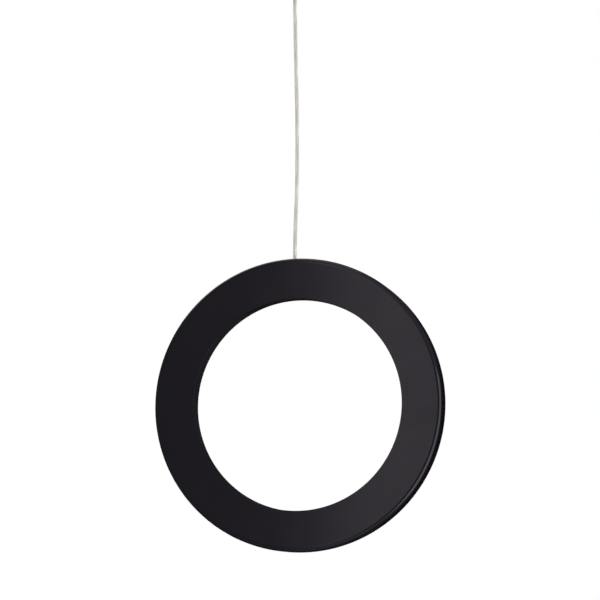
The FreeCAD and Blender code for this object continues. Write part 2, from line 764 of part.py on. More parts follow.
def countersink(grow):
    """Lid screw's flat head and shank below Z = 0, grown all round for its hole."""
    head = LID_SCREW_HEAD_DIAMETER / 2 + grow
    shank = LID_SCREW_DIAMETER / 2 + grow
    return turned([(0, 0), (head, 0), (shank, shank - head), (shank, -LID_SCREW_LENGTH), (0, -LID_SCREW_LENGTH)])


def adapter_lid():
    """Flat cover with magnet pockets, countersunk holes and a locating lip."""
    lid = rounded_block(ADAPTER_LENGTH, ADAPTER_WIDTH, lid_under, 0, ADAPTER_CORNER_ROUND)
    lid = lid.makeChamfer(LID_EDGE_BREAK, [edge for edge in lid.Edges if edge.BoundBox.ZMin > -0.001])
    lip_length = inner_length - 2 * LID_CLEARANCE
    lip_width = inner_width - 2 * LID_CLEARANCE
    lip = rounded_block(lip_length, lip_width, lip_under, lid_under, inner_round)
    lip = lip.cut(rounded_block(lip_length - 2 * LID_LIP_WIDTH, lip_width - 2 * LID_LIP_WIDTH,
                                lip_under, lid_under, inner_round))
    for x, y in lid_screw_places():
        lip = lip.cut(cylinder(LID_BOSS_DIAMETER + 2 * LID_CLEARANCE, lip_under, lid_under, x, y))
    lid = lid.fuse(lip).removeSplitter()
    pocket_depth = MAGNET_THICKNESS + MAGNET_RECESS
    for x in magnet_places():
        pocket = rounded_block(MAGNET_LENGTH + 2 * MAGNET_CLEARANCE, MAGNET_WIDTH + 2 * MAGNET_CLEARANCE,
                               -pocket_depth, 0, MAGNET_CORNER_ROUND, x)
        lid = lid.cut(pocket)
    hole = countersink(SCREW_CLEARANCE)
    for x, y in lid_screw_places():
        lid = lid.cut(placed(hole, x, y, 0))
    return lid


def lid_screws():
    """Four countersunk screws, a hair below the top face."""
    socket = hexagon(SCREW_SOCKET, -SCREW_SOCKET_DEPTH, 0)
    screw = countersink(0).cut(socket)
    return Part.makeCompound([placed(screw, x, y, -SCREW_CLEARANCE) for x, y in lid_screw_places()])


def holding_magnets():
    """Two flat magnets that hold the adapter in the steel-lined track."""
    low = -MAGNET_RECESS - MAGNET_THICKNESS
    return Part.makeCompound([
        rounded_block(MAGNET_LENGTH, MAGNET_WIDTH, low, -MAGNET_RECESS, MAGNET_CORNER_ROUND, x)
        for x in magnet_places()
    ])


def facing(piece, side):
    """Piece made along +Y, left there or turned to face -Y, and moved to the contacts' line."""
    copy = piece.copy()
    if side < 0:
        copy.rotate(Vector(0, 0, 0), Z_AXIS, 180)
    copy.translate(Vector(CONTACT_X, 0, contact_level))
    return copy


def contact_carrier():
    """Insulating block with one blind bore per contact and slots for the terminal tabs."""
    body = block((CONTACT_X - CARRIER_LENGTH / 2, -carrier_side, carrier_foot),
                 (CONTACT_X + CARRIER_LENGTH / 2, carrier_side, lip_under))
    bore = Part.makeCylinder(carrier_bore, carrier_side - bore_end, Y_AXIS * bore_end, Y_AXIS)
    slot_half = TAB_WIDTH / 2 + TAB_CLEARANCE
    slot = block((-slot_half, bore_end, carrier_foot - contact_level),
                 (slot_half, disc_face + TAB_CLEARANCE, 0))
    for side in (-1, 1):
        body = body.cut(facing(bore, side)).cut(facing(slot, side))
    return body


def contact_plunger(side):
    """Round-nosed contact that the spring pushes out through the adapter's side wall."""
    tip = ADAPTER_WIDTH / 2 + CONTACT_TRAVEL + CONTACT_PRESSED_REACH
    nose = turned([
        (0, flange_back),
        (CONTACT_FLANGE_DIAMETER / 2, flange_back),
        (CONTACT_FLANGE_DIAMETER / 2, flange_face),
        (CONTACT_DIAMETER / 2, flange_face),
        (CONTACT_DIAMETER / 2, tip),
        (0, tip),
    ], Y_AXIS)
    nose = nose.makeFillet(CONTACT_TIP_ROUND, circles(nose, CONTACT_DIAMETER / 2, Y_AXIS * tip))
    return facing(nose, side)


def helix_point(angle, radius, low, climb):
    """Point of a helix about Y, and its direction there."""
    point = Vector(radius * math.cos(angle), low + climb * angle, radius * math.sin(angle))
    heading = Vector(-radius * math.sin(angle), climb, radius * math.cos(angle))
    return point, heading.normalize()


def quarter_turn(start, end):
    """Two tangent arcs between two points with given headings."""
    (first, away), (last, towards) = start, end
    span = last - first
    both = away + towards
    spread = 2 * (1 - away.dot(towards))
    reach = (math.sqrt(span.dot(both) ** 2 + spread * span.dot(span)) - span.dot(both)) / spread
    lead = first + away * reach
    follow = last - towards * reach
    middle = (lead + follow) * 0.5
    return [corner_arc(first, lead, middle), corner_arc(middle, follow, last)]


def contact_spring(side):
    """Coil spring between a contact and its terminal, wound in quarter turns."""
    low = disc_face + SPRING_CLEARANCE + SPRING_WIRE / 2
    high = flange_back - SPRING_CLEARANCE - SPRING_WIRE / 2
    climb = (high - low) / (SPRING_TURNS * 2 * math.pi)
    radius = (SPRING_DIAMETER - SPRING_WIRE) / 2
    edges = []
    for quarter in range(4 * SPRING_TURNS):
        start = helix_point(quarter * math.pi / 2, radius, low, climb)
        end = helix_point((quarter + 1) * math.pi / 2, radius, low, climb)
        edges += quarter_turn(start, end)
    print("spring gap between turns", round(climb * 2 * math.pi - SPRING_WIRE, 2))
    return facing(tube_along(Part.Wire(edges), SPRING_WIRE), side)


def contact_terminals():
    """Brass discs behind the springs, each with a tab down to its lead."""
    disc = Part.makeCylinder(CONTACT_FLANGE_DIAMETER / 2, TAB_THICKNESS, Y_AXIS * bore_end, Y_AXIS)
    tab = block((-TAB_WIDTH / 2, bore_end, tab_foot - contact_level), (TAB_WIDTH / 2, disc_face, 0))
    terminal = disc.fuse(tab).removeSplitter()
    return Part.makeCompound([facing(terminal, side) for side in (-1, 1)])


def contact_leads():
    """Insulated leads from the contact terminals to the driver's terminal."""
    y = (bore_end + disc_face) / 2
    outer = 1.5 * TERMINAL_PITCH
    start_level = (carrier_foot + tab_foot) / 2
    end = terminal_face - TERMINAL_WIRE_DEPTH
    leads = []
    for side in (-1, 1):
        points = [
            Vector(CONTACT_X - TAB_WIDTH / 2, side * y, start_level),
            Vector(CONTACT_X - TAB_WIDTH / 2 - LEAD_STRAIGHT, side * y, start_level),
            Vector(CONTACT_X - CARRIER_LENGTH, side * (y + outer) / 2, start_level),
            Vector(0, side * outer, wire_level),
            Vector(end, side * outer, wire_level),
        ]
        leads.append(tube_along(rounded_path(points), CORE_DIAMETER))
    return Part.makeCompound(leads)


def supply_leads():
    """The cable's two cores, from its sheath to the driver's terminal."""
    end = terminal_face - TERMINAL_WIRE_DEPTH
    leads = []
    for side in (-1, 1):
        near = side * CORE_SPACING / 2
        far = side * TERMINAL_PITCH / 2
        points = [
            Vector(0, near, sheath_top),
            Vector(0, near, wire_level),
            Vector(terminal_face / 2, far, wire_level),
            Vector(end, far, wire_level),
        ]
        leads.append(tube_along(rounded_path(points), CORE_DIAMETER))
    return Part.makeCompound(leads)


def driver_board():
    """Circuit board on two bosses of the adapter's floor."""
    board = block((board_start, -board_side, board_under), (board_end, board_side, board_top))
    for x in board_screw_places():
        board = board.cut(cylinder(SCREW_DIAMETER + 2 * SCREW_CLEARANCE, board_under, board_top, x))
    return board


def driver_board_screws():
    """Two screws that hold the driver board."""
    screw = pan_screw(BOARD_SCREW_LENGTH)
    return Part.makeCompound([placed(screw, x, 0, board_top) for x in board_screw_places()])


def driver_inductor():
    """Shielded inductor: square foot, round core."""
    foot_top = board_top + INDUCTOR_FOOT_HEIGHT
    foot = rounded_block(INDUCTOR_SIZE, INDUCTOR_SIZE, board_top, foot_top, INDUCTOR_FOOT_ROUND, inductor_x)
    core = cylinder(INDUCTOR_SIZE - INDUCTOR_FOOT_ROUND, foot_top, board_top + INDUCTOR_HEIGHT, inductor_x)
    return foot.fuse(core)


def driver_capacitors():
    """Two standing capacitors."""
    top = board_top + CAPACITOR_HEIGHT
    cans = []
    for side in (-1, 1):
        y = side * (CAPACITOR_DIAMETER + CAPACITOR_SPACING) / 2
        can = cylinder(CAPACITOR_DIAMETER, board_top, top, capacitor_x, y)
        rim = circles(can, CAPACITOR_DIAMETER / 2, Vector(capacitor_x, y, top))
        cans.append(can.makeChamfer(CAPACITOR_EDGE_BREAK, rim))
    return Part.makeCompound(cans)


def driver_chips():
    """Control chips beside the board's screws."""
    chips = []
    for x in board_screw_places():
        for side in (-1, 1):
            y = side * CHIP_SPACING / 2
            low = (x - CHIP_LENGTH / 2, y - CHIP_WIDTH / 2, board_top)
            chips.append(block(low, (x + CHIP_LENGTH / 2, y + CHIP_WIDTH / 2, board_top + CHIP_HEIGHT)))
    return Part.makeCompound(chips)


def driver_terminal():
    """Four-way terminal for the two contact leads and the two supply leads."""
    body = block((terminal_face - TERMINAL_LENGTH, -TERMINAL_WIDTH / 2, board_top),
                 (terminal_face, TERMINAL_WIDTH / 2, board_top + TERMINAL_HEIGHT))
    for step in (-1.5, -0.5, 0.5, 1.5):
        mouth = Vector(terminal_face - TERMINAL_HOLE_DEPTH, step * TERMINAL_PITCH, wire_level)
        body = body.cut(Part.makeCylinder(TERMINAL_HOLE_DIAMETER / 2, TERMINAL_HOLE_DEPTH, mouth, X_AXIS))
    return body


pieces = {
    "adapter_housing": adapter_housing(),
    "adapter_lid": adapter_lid(),
    "lid_screws": lid_screws(),
    "holding_magnets": holding_magnets(),
    "contact_carrier": contact_carrier(),
    "contact_plunger_front": contact_plunger(-1),
    "contact_plunger_rear": contact_plunger(1),
    "contact_spring_front": contact_spring(-1),
    "contact_spring_rear": contact_spring(1),
    "contact_terminals": contact_terminals(),
    "contact_leads": contact_leads(),
    "driver_board": driver_board(),
    "driver_board_screws": driver_board_screws(),
    "driver_inductor": driver_inductor(),
    "driver_capacitors": driver_capacitors(),
    "driver_chips": driver_chips(),
    "driver_terminal": driver_terminal(),
    "supply_leads": supply_leads(),
    "gland_body": gland_body(),
    "gland_locknut": gland_locknut(),
    "gland_collet": gland_collet(),
    "gland_cap": gland_cap(),
    "cable_tail_top": cable_tail_top(),
    "cable_upper": cable_upper(),
    "power_cable": power_cable(),
    "ring_housing": hung(ring_housing()),
    "thermal_tape": thermal_tape(),
    "led_board": led_board(),
    "led_chips": led_chips(),
    "ring_terminal": ring_terminal(),
    "ring_leads": ring_leads(),
    "cable_tail_ring": cable_tail_ring(),
    "cable_grommet": cable_grommet(),
    "cable_clamp": cable_clamp(),
    "clamp_screws": clamp_screws(),
    "diffuser": diffuser(),
}

os.makedirs("parts", exist_ok=True)
for name, piece in pieces.items():
    piece.exportStep("parts/" + name + ".step")
    solids = piece.Solids
    print(name, len(solids), "solids", round(sum(solid.Volume for solid in solids), 1), piece.isValid())
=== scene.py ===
import json
import math
import bpy
import bmesh
from mathutils import Matrix, Vector


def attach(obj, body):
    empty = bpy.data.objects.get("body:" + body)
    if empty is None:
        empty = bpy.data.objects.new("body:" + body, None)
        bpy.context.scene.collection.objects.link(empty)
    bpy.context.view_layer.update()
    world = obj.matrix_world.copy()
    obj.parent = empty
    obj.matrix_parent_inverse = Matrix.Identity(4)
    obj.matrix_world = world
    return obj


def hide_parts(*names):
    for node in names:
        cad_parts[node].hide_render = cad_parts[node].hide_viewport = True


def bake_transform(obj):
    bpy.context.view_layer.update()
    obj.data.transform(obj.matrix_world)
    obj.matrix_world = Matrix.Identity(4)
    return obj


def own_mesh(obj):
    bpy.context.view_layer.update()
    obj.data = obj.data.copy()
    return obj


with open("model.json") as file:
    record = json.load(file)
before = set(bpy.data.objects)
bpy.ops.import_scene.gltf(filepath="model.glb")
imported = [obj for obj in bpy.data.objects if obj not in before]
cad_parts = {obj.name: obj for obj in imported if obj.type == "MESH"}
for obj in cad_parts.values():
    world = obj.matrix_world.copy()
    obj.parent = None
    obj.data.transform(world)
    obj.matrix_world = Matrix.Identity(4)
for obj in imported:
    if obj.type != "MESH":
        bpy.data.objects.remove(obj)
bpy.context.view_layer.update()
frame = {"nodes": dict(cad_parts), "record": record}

nodes = frame["nodes"]
scene = bpy.context.scene
scene.view_settings.view_transform = "Standard"
print("frame loaded,", len(nodes), "nodes")


# helpers for shader nodes

def feed(tree, node, inputs):
    # a socket is linked, anything else becomes the input's own value
    for key, value in inputs.items():
        socket = node.inputs[key]
        if isinstance(value, bpy.types.NodeSocket):
            tree.links.new(value, socket)
        elif socket.type == "RGBA":
            socket.default_value = (*value, 1.0)
        else:
            socket.default_value = value


def addNode(tree, kind, x, y, inputs=None, **settings):
    node = tree.nodes.new(kind)
    node.location = (x, y)
    for key, value in settings.items():
        setattr(node, key, value)
    feed(tree, node, inputs or {})
    return node


def addMath(tree, operation, first, second, x, y, **settings):
    node = addNode(tree, "ShaderNodeMath", x, y, {0: first, 1: second}, operation=operation, **settings)
    return node.outputs["Value"]


def addRange(tree, source, limits, x, y, **settings):
    # the first two limits become the last two
    labels = ("From Min", "From Max", "To Min", "To Max")
    inputs = {"Value": source, **dict(zip(labels, limits))}
    return addNode(tree, "ShaderNodeMapRange", x, y, inputs, **settings).outputs["Result"]


def mixColours(tree, factor, low, high, x, y):
    # the colours of a Mix node are its inputs 6 and 7 and its output 2
    mix = addNode(tree, "ShaderNodeMix", x, y, {0: factor, 6: low, 7: high}, data_type="RGBA")
    return mix.outputs[2]


def newGroup(name, inputs, outputs):
    group = bpy.data.node_groups.new(name, "ShaderNodeTree")
    for label, start in inputs.items():
        socket = group.interface.new_socket(name=label, in_out="INPUT", socket_type="NodeSocketFloat")
        socket.default_value = start
    for label, kind in outputs.items():
        group.interface.new_socket(name=label, in_out="OUTPUT", socket_type=kind)
    return group, addNode(group, "NodeGroupInput", -900, 0).outputs


def useGroup(tree, group, x, y, **values):
    return addNode(tree, "ShaderNodeGroup", x, y, values, node_tree=group)


def newMaterial(name):
    material = bpy.data.materials.new(name)
    material.use_nodes = True
    return material, material.node_tree


# effects that the materials share

grainLook = dict(detail=3.0, roughness=0.55, bevelSamples=4, wear=(0.985, 0.8, 0.0, 1.0))


def makeGrain():
    # moulded or sprayed skin: a bump over softened edges, and a mask of the edges that wear
    inputs = {"Scale": 1500.0, "Depth": 0.00001, "Edge": 0.0002}
    outputs = {"Normal": "NodeSocketVector", "Wear": "NodeSocketFloat"}
    group, given = newGroup("surfaceGrain", inputs, outputs)
    place = addNode(group, "ShaderNodeTexCoord", -700, 200)
    noise = addNode(group, "ShaderNodeTexNoise", -450, 200, {
        "Vector": place.outputs["Object"], "Scale": given["Scale"],
        "Detail": grainLook["detail"], "Roughness": grainLook["roughness"]})
    bevel = addNode(group, "ShaderNodeBevel", -450, -150, {"Radius": given["Edge"]},
                    samples=grainLook["bevelSamples"])
    bump = addNode(group, "ShaderNodeBump", 100, 100, {
        "Height": noise.outputs["Fac"], "Distance": given["Depth"], "Normal": bevel.outputs["Normal"]})
    flat = addNode(group, "ShaderNodeNewGeometry", -450, -350)
    turn = addNode(group, "ShaderNodeVectorMath", -200, -300,
                   {0: bevel.outputs["Normal"], 1: flat.outputs["Normal"]}, operation="DOT_PRODUCT")
    wear = addRange(group, turn.outputs["Value"], grainLook["wear"], 50, -300)
    addNode(group, "NodeGroupOutput", 700, 0, {"Normal": bump.outputs["Normal"], "Wear": wear})
    return group


driftLook = dict(detail=4.0, roughness=0.6, spread=(0.3, 0.7))


def makeDrift():
    # slow uneven drift of a value over the surface
    inputs = {"Scale": 40.0, "Low": 0.0, "High": 1.0}
    group, given = newGroup("slowDrift", inputs, {"Value": "NodeSocketFloat"})
    place = addNode(group, "ShaderNodeTexCoord", -700, 0)
    noise = addNode(group, "ShaderNodeTexNoise", -450, 0, {
        "Vector": place.outputs["Object"], "Scale": given["Scale"],
        "Detail": driftLook["detail"], "Roughness": driftLook["roughness"]})
    limits = (*driftLook["spread"], given["Low"], given["High"])
    value = addRange(group, noise.outputs["Fac"], limits, -100, 0)
    addNode(group, "NodeGroupOutput", 700, 0, {"Value": value})
    return group


scratchLook = dict(detail=2.0, turns=(0.35, -0.9), stretch=(0.06, 1.0, 1.0), cut=(0.62, 0.7, 0.0, 1.0))


def makeScratch():
    # hair-fine scratches in two directions
    inputs = {"Scale": 300.0, "Amount": 0.5}
    group, given = newGroup("fineScratch", inputs, {"Mask": "NodeSocketFloat"})
    place = addNode(group, "ShaderNodeTexCoord", -900, 300)
    lines = []
    for turn, y in zip(scratchLook["turns"], (250, -150)):
        laid = addNode(group, "ShaderNodeMapping", -650, y, {
            "Vector": place.outputs["Object"], "Rotation": (0.0, 0.0, turn),
            "Scale": scratchLook["stretch"]})
        noise = addNode(group, "ShaderNodeTexNoise", -400, y, {
            "Vector": laid.outputs["Vector"], "Scale": given["Scale"], "Detail": scratchLook["detail"]})
        lines.append(addRange(group, noise.outputs["Fac"], scratchLook["cut"], -150, y))
    both = addMath(group, "MAXIMUM", *lines, 100, 50)
    mask = addMath(group, "MULTIPLY", both, given["Amount"], 350, 50)
    addNode(group, "NodeGroupOutput", 700, 0, {"Mask": mask})
    return group


grainGroup = makeGrain()
driftGroup = makeDrift()
scratchGroup = makeScratch()
print("shader groups made")


# materials, one for each slot and one for each core of the cable

glossPace = 2.3  # how much finer the gloss drifts than the tone, where a finish doesn't say


def skinMaterial(name, low, high, rough, grain, depth, edge=0.00015, drift=60.0, glossDrift=None, worn=None,
                 shader=None):
    # two tones that drift into each other, a grained normal and an uneven gloss
    material, tree = newMaterial(name)
    skin = useGroup(tree, grainGroup, -700, -200, Scale=grain, Depth=depth, Edge=edge)
    tone = useGroup(tree, driftGroup, -700, 200, Scale=drift)
    pace = glossDrift or drift * glossPace
    gloss = useGroup(tree, driftGroup, -700, 0, Scale=pace, Low=rough[0], High=rough[1])
    colour = mixColours(tree, tone.outputs["Value"], low, high, -400, 250)
    if worn:
        colour = mixColours(tree, skin.outputs["Wear"], colour, worn, -200, 250)
    surface = tree.nodes["Principled BSDF"]
    feed(tree, surface, {
        "Base Color": colour, "Roughness": gloss.outputs["Value"], "Normal": skin.outputs["Normal"]})
    feed(tree, surface, shader or {})
    return material


def metalMaterial(name, low, high, rough, scratch, amount, grain=2200.0, depth=0.000002, edge=0.0001,
                  drift=90.0):
    # plated or turned metal, with fine scratches that dull the gloss
    material, tree = newMaterial(name)
    skin = useGroup(tree, grainGroup, -700, -250, Scale=grain, Depth=depth, Edge=edge)
    lines = useGroup(tree, scratchGroup, -900, 0, Scale=scratch, Amount=amount)
    tone = useGroup(tree, driftGroup, -700, 250, Scale=drift)
    gloss = useGroup(tree, driftGroup, -700, 50, Scale=drift, Low=rough[0], High=rough[1])
    dulled = addMath(tree, "ADD", gloss.outputs["Value"], lines.outputs["Mask"], -350, 0, use_clamp=True)
    colour = mixColours(tree, tone.outputs["Value"], low, high, -400, 250)
    feed(tree, tree.nodes["Principled BSDF"], {
        "Base Color": colour, "Metallic": 1.0, "Roughness": dulled, "Normal": skin.outputs["Normal"]})
    return material


skins = {
    "ring_black": dict(low=(0.0064, 0.0058, 0.0090), high=(0.0074, 0.0067, 0.0103), rough=(0.135, 0.165),
                       grain=900.0, depth=0.0000012, edge=0.0, drift=26.0,
                       shader={"Specular Tint": (0.955, 0.862, 0.955)}),
    "adapter_black": dict(low=(0.013, 0.013, 0.014), high=(0.019, 0.019, 0.020), rough=(0.46, 0.58),
                          grain=2600.0, depth=0.000018, edge=0.0002, worn=(0.035, 0.035, 0.036)),
    "gland_black": dict(low=(0.012, 0.012, 0.013), high=(0.017, 0.017, 0.018), rough=(0.36, 0.46),
                        grain=3400.0, depth=0.000008, edge=0.00012, worn=(0.03, 0.03, 0.031)),
    "collet_rubber": dict(low=(0.022, 0.022, 0.022), high=(0.032, 0.032, 0.031), rough=(0.62, 0.78),
                          grain=4200.0, depth=0.000012),
    "carrier_nylon": dict(low=(0.52, 0.50, 0.43), high=(0.60, 0.58, 0.51), rough=(0.38, 0.5),
                          grain=1800.0, depth=0.000008,
                          shader={"Subsurface Weight": 0.1, "Subsurface Scale": 0.001}),
    "board_green": dict(low=(0.008, 0.075, 0.028), high=(0.014, 0.105, 0.042), rough=(0.24, 0.36),
                        grain=1400.0, depth=0.000006),
    "board_white": dict(low=(0.68, 0.68, 0.65), high=(0.76, 0.76, 0.73), rough=(0.3, 0.42),
                        grain=1600.0, depth=0.000005),
    "ferrite": dict(low=(0.016, 0.016, 0.017), high=(0.03, 0.029, 0.029), rough=(0.55, 0.7),
                    grain=2400.0, depth=0.00002),
    "chip_black": dict(low=(0.011, 0.011, 0.012), high=(0.02, 0.02, 0.02), rough=(0.5, 0.62),
                       grain=3800.0, depth=0.00001),
    "terminal_white": dict(low=(0.62, 0.62, 0.58), high=(0.7, 0.7, 0.66), rough=(0.36, 0.46),
                           grain=2000.0, depth=0.000008),
    "lead_grey": dict(low=(0.19, 0.19, 0.20), high=(0.26, 0.26, 0.27), rough=(0.32, 0.44),
                      grain=1800.0, depth=0.000006),
    "led_phosphor": dict(low=(0.74, 0.50, 0.06), high=(0.82, 0.60, 0.10), rough=(0.22, 0.34),
                         grain=2600.0, depth=0.000006),
    "tape_grey": dict(low=(0.30, 0.30, 0.32), high=(0.40, 0.40, 0.42), rough=(0.6, 0.75),
                      grain=1500.0, depth=0.00002),
    "opal": dict(low=(0.79, 0.79, 0.765), high=(0.83, 0.83, 0.81), rough=(0.34, 0.42),
                 grain=3000.0, depth=0.000004),
    "cable_clear": dict(low=(0.895, 0.885, 0.845), high=(0.925, 0.915, 0.88), rough=(0.26, 0.38),
                        grain=700.0, depth=0.000004, edge=0.0, drift=90.0, glossDrift=140.0,
                        shader={"IOR": 1.45, "Transmission Weight": 0.72}),  # a little cloudy
}
metals = {
    "magnet_nickel": dict(low=(0.60, 0.58, 0.54), high=(0.70, 0.68, 0.65), rough=(0.20, 0.28),
                          scratch=2600.0, amount=0.04),
    "screw_steel": dict(low=(0.46, 0.46, 0.47), high=(0.58, 0.58, 0.58), rough=(0.26, 0.36),
                        scratch=900.0, amount=0.2),
    "screw_black": dict(low=(0.025, 0.025, 0.027), high=(0.045, 0.045, 0.047), rough=(0.3, 0.42),
                        scratch=900.0, amount=0.2),
    "contact_brass": dict(low=(0.66, 0.42, 0.13), high=(0.80, 0.56, 0.22), rough=(0.16, 0.28),
                          scratch=800.0, amount=0.25),
    "spring_steel": dict(low=(0.50, 0.50, 0.50), high=(0.62, 0.62, 0.62), rough=(0.22, 0.32),
                         scratch=900.0, amount=0.2),
    "can_aluminium": dict(low=(0.62, 0.62, 0.63), high=(0.74, 0.74, 0.75), rough=(0.24, 0.34),
                          scratch=500.0, amount=0.2),
    "core_tin": dict(low=(0.76, 0.755, 0.72), high=(0.83, 0.825, 0.79), rough=(0.4, 0.52),
                     scratch=1500.0, amount=0.2),
    "core_copper": dict(low=(0.77, 0.73, 0.66), high=(0.84, 0.80, 0.73), rough=(0.4, 0.52),
                        scratch=1500.0, amount=0.2),
}
finish = {name: skinMaterial(name, **facts) for name, facts in skins.items()}
finish.update({name: metalMaterial(name, **facts) for name, facts in metals.items()})

for part in frame["record"]["subparts"]:
    mesh = nodes[part["node"]].data
    mesh.materials.clear()
    mesh.materials.append(finish[part["material_slot"]])
print("materials set on", len(nodes), "nodes")


# helpers for meshes

tube = dict(caps=4, tip=0.02)  # loops in each rounded end, and how far the last one closes


def addObject(name, data):
    obj = bpy.data.objects.new(name, data)
    scene.collection.objects.link(obj)
    return obj


def makeMesh(name, shape, *materials):
    bmesh.ops.recalc_face_normals(shape, faces=shape.faces)
    mesh = bpy.data.meshes.new(name)
    shape.to_mesh(mesh)
    shape.free()
    mesh.polygons.foreach_set("use_smooth", [True] * len(mesh.polygons))
    for material in materials:
        mesh.materials.append(material)
    return addObject(name, mesh)


def finalMesh(obj):
    bpy.context.view_layer.update()
    return bpy.data.meshes.new_from_object(obj.evaluated_get(bpy.context.evaluated_depsgraph_get()))


def bridge(shape, lower, upper):
    # a band of faces between two loops of points
    for index in range(len(lower)):
        after = (index + 1) % len(lower)
        shape.faces.new((lower[index], lower[after], upper[after], upper[index]))


def crossFrames(line, sides):
    # each point of a line with its direction and two directions across it
    made = []
    last = len(line) - 1
    for index, (point, side) in enumerate(zip(line, sides)):
        ahead = (line[min(index + 1, last)] - line[max(index - 1, 0)]).normalized()
        across = (side - ahead * ahead.dot(side)).normalized()
        made.append((point, ahead, across, ahead.cross(across)))
    return made


def tubeAlong(steps, radius, sides):
    # loops of points round the cross frames of a line, with rounded ends
    shape = bmesh.new()
    bends = [cap / tube["caps"] * math.pi / 2 for cap in range(tube["caps"])]
    places = [(steps[0], -math.cos(bend), math.sin(bend)) for bend in bends]
    places += [(step, 0.0, 1.0) for step in steps]
    places += [(steps[-1], math.cos(bend), math.sin(bend)) for bend in reversed(bends)]
    turns = [index / sides * math.tau for index in range(sides)]
    loops = []
    for (point, ahead, across, up), reach, share in places:
        centre = point + ahead * radius * reach
        size = radius * max(share, tube["tip"])
        points = [centre + across * math.cos(turn) * size + up * math.sin(turn) * size for turn in turns]
        loops.append([shape.verts.new(point) for point in points])
    for lower, upper in zip(loops, loops[1:]):
        bridge(shape, lower, upper)
    shape.faces.new(reversed(loops[0]))
    shape.faces.new(loops[-1])
    return shape


# cable: a clear sheath round two twisted cores

cable = dict(
    radius=0.00125,
    length=0.190,
    exit=(0.0, 0.0, -0.034),  # in the gland's mouth
    bend=Vector((0.0, 0.0, -0.040)),  # the middle of a short stretch of the cable, below the gland's mouth
    bendHalf=Vector((0.0, 0.0, 0.004)),
    sides=20,
    smoothness=24,
    coreRadius=0.00048,
    coreSpread=0.0005,
    coreLay=0.085,  # length of one twist
    coreSides=10,
    route=[
        (0.0, 0.0, -0.034),
        (0.0, 0.0, -0.040),
        (0.00055, 0.0, -0.079),
        (0.00170, 0.0, -0.127),
        (0.00155, 0.0, -0.174),
        (0.00025, 0.0, -0.202),
        (0.0, 0.0, -0.224),
    ],
)


def splineLine(points):
    # the route's smooth line, read from a NURBS curve with no bevel
    curve = bpy.data.curves.new("routeLine", "CURVE")
    curve.dimensions = "3D"
    curve.resolution_u = cable["smoothness"]
    spline = curve.splines.new("NURBS")
    spline.points.add(len(points) - 1)
    for point, place in zip(spline.points, points):
        point.co = (*place, 1.0)
    spline.order_u = 3
    spline.use_endpoint_u = True
    holder = addObject("routeLine", curve)
    mesh = finalMesh(holder)
    line = [vertex.co.copy() for vertex in mesh.vertices]
    bpy.data.objects.remove(holder)
    bpy.data.meshes.remove(mesh)
    return line


def cableFrames(line):
    return crossFrames(line, [Vector((1.0, 0.0, 0.0))] * len(line))


def coreLine(line, start):
    # one core of the twisted pair inside the sheath
    made = []
    along = 0.0
    for index, (point, ahead, side, up) in enumerate(cableFrames(line)):
        if index:
            along += (point - line[index - 1]).length
        angle = start + along / cable["coreLay"] * math.tau
        made.append(point + (side * math.cos(angle) + up * math.sin(angle)) * cable["coreSpread"])
    return made


cableLine = splineLine(cable["route"])
sheath = makeMesh("cableSheath", tubeAlong(cableFrames(cableLine), cable["radius"], cable["sides"]),
                  finish["cable_clear"])
cores = []
for name, start in (("tin", 0.0), ("copper", math.pi)):
    shape = tubeAlong(cableFrames(coreLine(cableLine, start)), cable["coreRadius"], cable["coreSides"])
    core = makeMesh("cableCore" + name.capitalize(), shape, finish["core_" + name])
    cores.append(core)

for piece in [sheath, *cores]:
    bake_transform(piece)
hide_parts("cable_upper", "power_cable")
print("cable,", len(cableLine), "points along its line")


# ring and its opal cover, turned finely round the ring's own axis and then hung on the cable

ring = dict(
    radius=0.09997,  # a hair under 100 mm, so that the fine circle stays in the coarser solid's box
    hole=0.0722,
    depth=0.013,
    face=0.002,
    wall=0.0018,
    rim=0.0009,  # lip round the cover
    edgeRound=0.0032,  # front outer edge
    edgeBreak=0.00005,
    seam=0.0002,  # keeps the shading flat up to the round edge
    top=-0.224,  # where the cable enters
    drop=0.100,  # from there to the ring's centre
    lean=1.5,  # degrees
    steps=288,
    roundSteps=12,
    sharp=30.0,  # edges over this angle stay sharp
)
opal = dict(
    thickness=0.002,
    recess=0.0002,  # below the ring's rim
    edgeBreak=0.0004,
    room=0.00015,  # play in the ring
    skirt=0.003,
    skirtWall=0.0012,
    snapDrop=0.0018,  # from the ledge to the snap bead
    bead=0.0004,
    beadWidth=0.0007,
    grooveRoom=0.0002,
    notch=0.0045,  # half the gap for the cable
)
saddle = dict(
    length=0.016,
    low=0.0921,  # from the ring's axis
    high=0.0961,
    top=-0.0013,
    screwGap=0.0104,
    screwRadius=0.00105,
    screwEnd=-0.00425,
    entryRadius=0.0024,
    boreSides=48,
)
ringBack = ring["depth"] / 2
ringFront = -ringBack
faceInside = ringFront + ring["face"]
coverLedge = ringBack - opal["recess"] - opal["thickness"]
snapLevel = coverLedge - opal["snapDrop"]
outerWall = ring["radius"] - ring["wall"]
innerWall = ring["hole"] + ring["wall"]


def snapGroove(wall, outwards):
    half = opal["beadWidth"] / 2 + opal["grooveRoom"]
    bottom = wall + outwards * (opal["bead"] + opal["grooveRoom"] - opal["room"])
    upper, lower = snapLevel + half, snapLevel - half
    return [(wall, upper), (bottom, upper), (bottom, lower), (wall, lower)]


